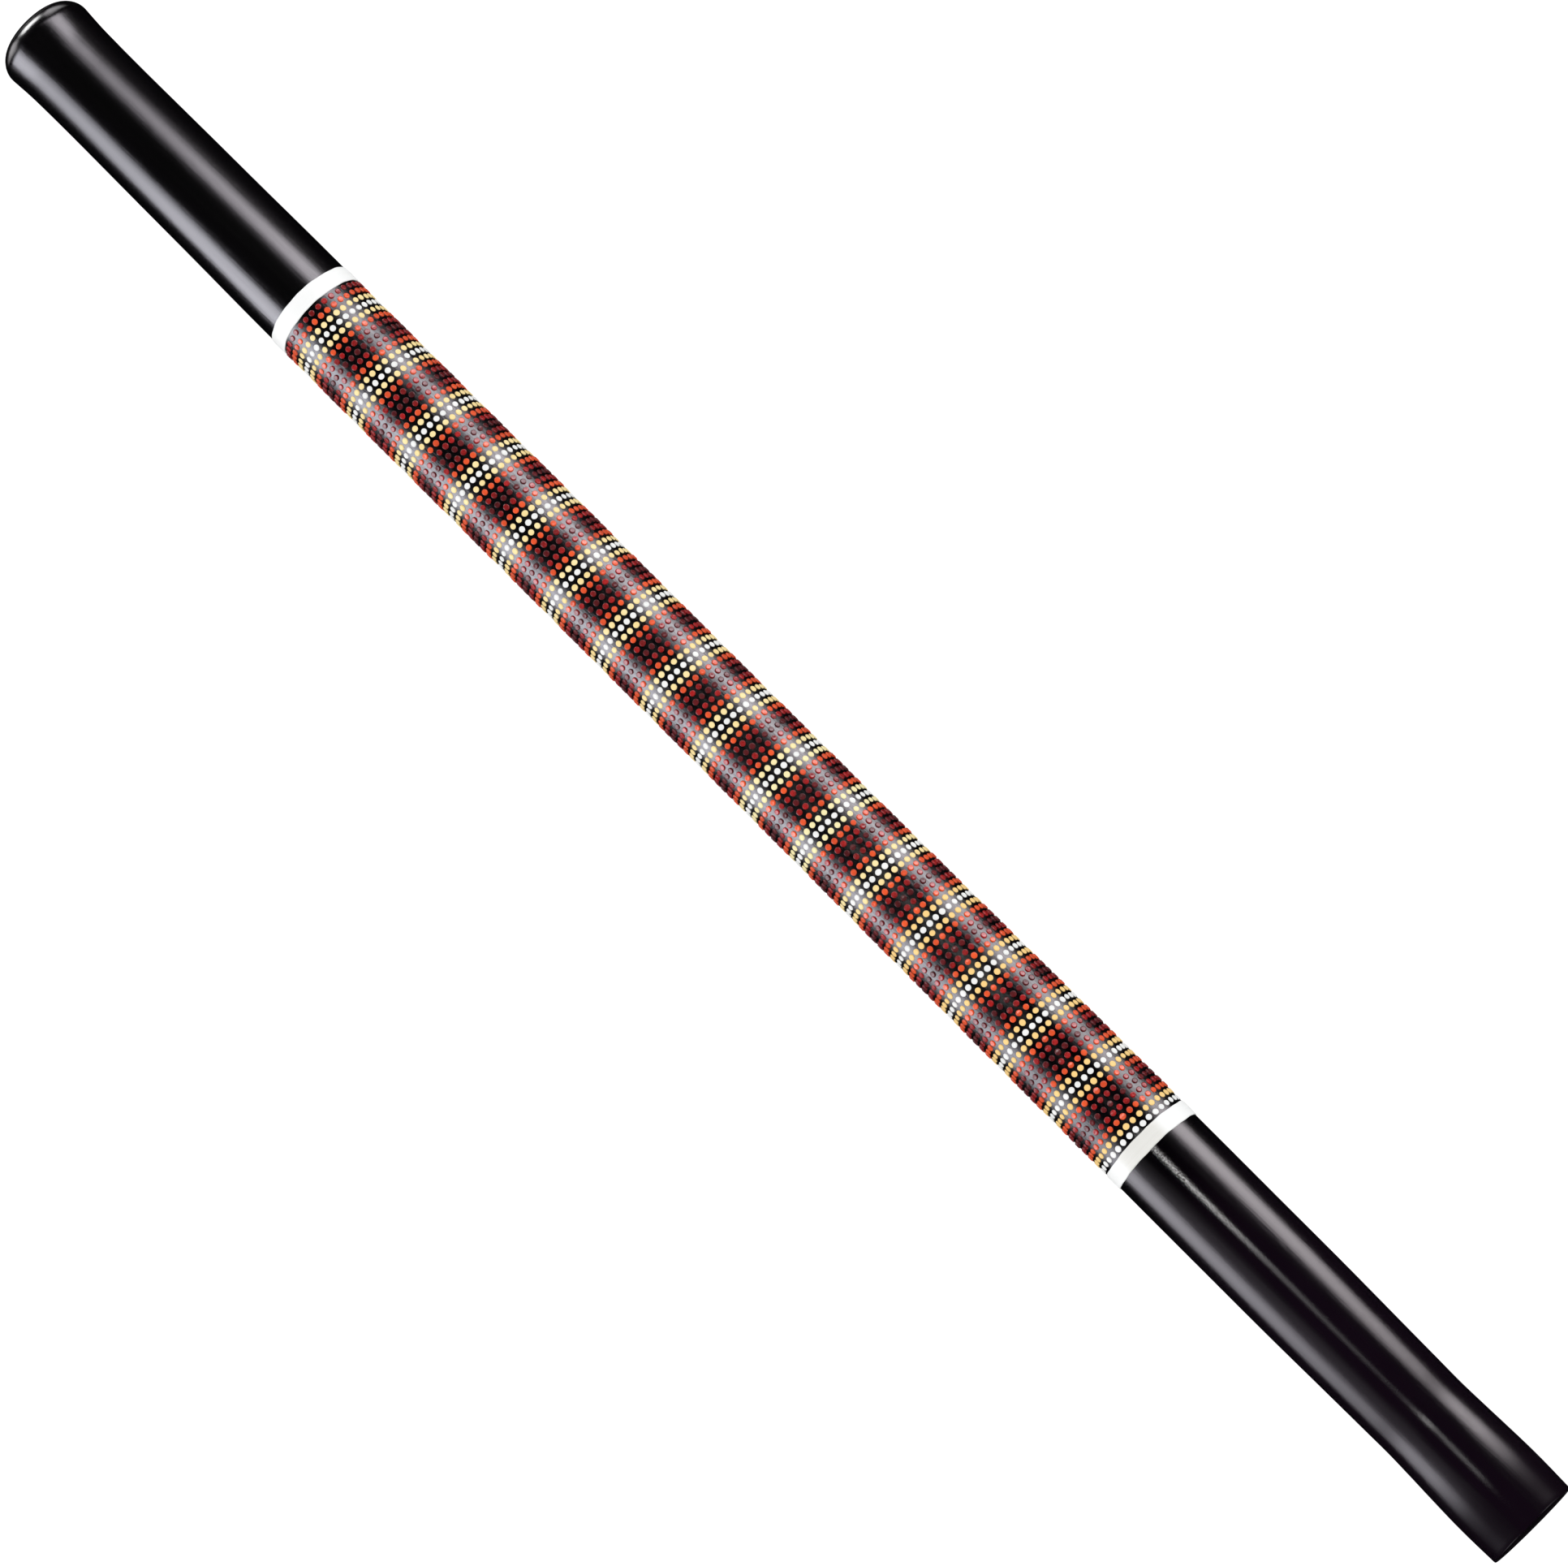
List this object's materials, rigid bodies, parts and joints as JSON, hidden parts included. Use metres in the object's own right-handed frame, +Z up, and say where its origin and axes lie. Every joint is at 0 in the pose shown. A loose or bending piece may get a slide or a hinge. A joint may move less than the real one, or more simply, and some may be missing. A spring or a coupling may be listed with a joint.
{
  "type": "rainstick",
  "caption": "Long black lacquered rainstick with a rounded head, a belled foot, two white bands, a helical staircase of inner pins and loose seeds that slide from end to end.",
  "frame": {"origin": "on the tube's axis, midway along the part: the centre of its bounding box", "axes": "+X along the tube's axis towards the rounded head, -X towards the belled foot, +Z up as the stick lies at rest"},
  "size_m": [1.0116, 0.0492, 0.0492],
  "materials": {
    "black_lacquer": "gloss black lacquer",
    "plug_black": "satin black",
    "band_white": "satin white",
    "felt_grey": "matt felt",
    "pin_bamboo": "raw bamboo",
    "seed_brown": "dry seed husk"
  },
  "bodies": {
    "tube": {"tube_body": "black_lacquer", "head_plug": "plug_black", "head_felt": "felt_grey", "foot_plug": "plug_black", "foot_felt": "felt_grey", "upper_white_band": "band_white", "lower_white_band": "band_white", "staircase_pin_01": "pin_bamboo", "staircase_pin_02": "pin_bamboo", "staircase_pin_03": "pin_bamboo", "staircase_pin_04": "pin_bamboo", "staircase_pin_05": "pin_bamboo", "staircase_pin_06": "pin_bamboo", "staircase_pin_07": "pin_bamboo", "staircase_pin_08": "pin_bamboo", "staircase_pin_09": "pin_bamboo", "staircase_pin_10": "pin_bamboo", "staircase_pin_11": "pin_bamboo", "staircase_pin_12": "pin_bamboo", "staircase_pin_13": "pin_bamboo", "staircase_pin_14": "pin_bamboo", "staircase_pin_15": "pin_bamboo", "staircase_pin_16": "pin_bamboo", "staircase_pin_17": "pin_bamboo", "staircase_pin_18": "pin_bamboo", "staircase_pin_19": "pin_bamboo", "staircase_pin_20": "pin_bamboo", "staircase_pin_21": "pin_bamboo", "staircase_pin_22": "pin_bamboo", "staircase_pin_23": "pin_bamboo", "staircase_pin_24": "pin_bamboo", "staircase_pin_25": "pin_bamboo", "staircase_pin_26": "pin_bamboo", "staircase_pin_27": "pin_bamboo", "staircase_pin_28": "pin_bamboo", "staircase_pin_29": "pin_bamboo", "staircase_pin_30": "pin_bamboo", "staircase_pin_31": "pin_bamboo", "staircase_pin_32": "pin_bamboo", "staircase_pin_33": "pin_bamboo", "staircase_pin_34": "pin_bamboo", "staircase_pin_35": "pin_bamboo", "staircase_pin_36": "pin_bamboo"},
    "seed_a1": {"seed_a1": "seed_brown"},
    "seed_a2": {"seed_a2": "seed_brown"},
    "seed_a3": {"seed_a3": "seed_brown"},
    "seed_a4": {"seed_a4": "seed_brown"},
    "seed_a5": {"seed_a5": "seed_brown"},
    "seed_b1": {"seed_b1": "seed_brown"},
    "seed_b2": {"seed_b2": "seed_brown"},
    "seed_b3": {"seed_b3": "seed_brown"},
    "seed_b4": {"seed_b4": "seed_brown"},
    "seed_b5": {"seed_b5": "seed_brown"},
    "seed_c1": {"seed_c1": "seed_brown"},
    "seed_c2": {"seed_c2": "seed_brown"},
    "seed_c3": {"seed_c3": "seed_brown"},
    "seed_c4": {"seed_c4": "seed_brown"},
    "seed_c5": {"seed_c5": "seed_brown"}
  },
  "joints": [
    {"name": "seed_a1_fall", "type": "slide", "parent": "tube", "child": "seed_a1", "axis": [1, 0, 0], "range_m": [0, 0.91]},
    {"name": "seed_a2_fall", "type": "slide", "parent": "tube", "child": "seed_a2", "axis": [1, 0, 0], "range_m": [0, 0.91]},
    {"name": "seed_a3_fall", "type": "slide", "parent": "tube", "child": "seed_a3", "axis": [1, 0, 0], "range_m": [0, 0.91]},
    {"name": "seed_a4_fall", "type": "slide", "parent": "tube", "child": "seed_a4", "axis": [1, 0, 0], "range_m": [0, 0.91]},
    {"name": "seed_a5_fall", "type": "slide", "parent": "tube", "child": "seed_a5", "axis": [1, 0, 0], "range_m": [0, 0.91]},
    {"name": "seed_b1_fall", "type": "slide", "parent": "tube", "child": "seed_b1", "axis": [1, 0, 0], "range_m": [0, 0.91]},
    {"name": "seed_b2_fall", "type": "slide", "parent": "tube", "child": "seed_b2", "axis": [1, 0, 0], "range_m": [0, 0.91]},
    {"name": "seed_b3_fall", "type": "slide", "parent": "tube", "child": "seed_b3", "axis": [1, 0, 0], "range_m": [0, 0.91]},
    {"name": "seed_b4_fall", "type": "slide", "parent": "tube", "child": "seed_b4", "axis": [1, 0, 0], "range_m": [0, 0.91]},
    {"name": "seed_b5_fall", "type": "slide", "parent": "tube", "child": "seed_b5", "axis": [1, 0, 0], "range_m": [0, 0.91]},
    {"name": "seed_c1_fall", "type": "slide", "parent": "tube", "child": "seed_c1", "axis": [1, 0, 0], "range_m": [0, 0.91]},
    {"name": "seed_c2_fall", "type": "slide", "parent": "tube", "child": "seed_c2", "axis": [1, 0, 0], "range_m": [0, 0.91]},
    {"name": "seed_c3_fall", "type": "slide", "parent": "tube", "child": "seed_c3", "axis": [1, 0, 0], "range_m": [0, 0.91]},
    {"name": "seed_c4_fall", "type": "slide", "parent": "tube", "child": "seed_c4", "axis": [1, 0, 0], "range_m": [0, 0.91]},
    {"name": "seed_c5_fall", "type": "slide", "parent": "tube", "child": "seed_c5", "axis": [1, 0, 0], "range_m": [0, 0.91]}
  ],
  "couplings": [
    {"joint": "seed_a2_fall", "follows": "seed_a1_fall", "ratio": 1},
    {"joint": "seed_a3_fall", "follows": "seed_a1_fall", "ratio": 1},
    {"joint": "seed_a4_fall", "follows": "seed_a1_fall", "ratio": 1},
    {"joint": "seed_a5_fall", "follows": "seed_a1_fall", "ratio": 1},
    {"joint": "seed_b2_fall", "follows": "seed_b1_fall", "ratio": 1},
    {"joint": "seed_b3_fall", "follows": "seed_b1_fall", "ratio": 1},
    {"joint": "seed_b4_fall", "follows": "seed_b1_fall", "ratio": 1},
    {"joint": "seed_b5_fall", "follows": "seed_b1_fall", "ratio": 1},
    {"joint": "seed_c2_fall", "follows": "seed_c1_fall", "ratio": 1},
    {"joint": "seed_c3_fall", "follows": "seed_c1_fall", "ratio": 1},
    {"joint": "seed_c4_fall", "follows": "seed_c1_fall", "ratio": 1},
    {"joint": "seed_c5_fall", "follows": "seed_c1_fall", "ratio": 1}
  ]
}
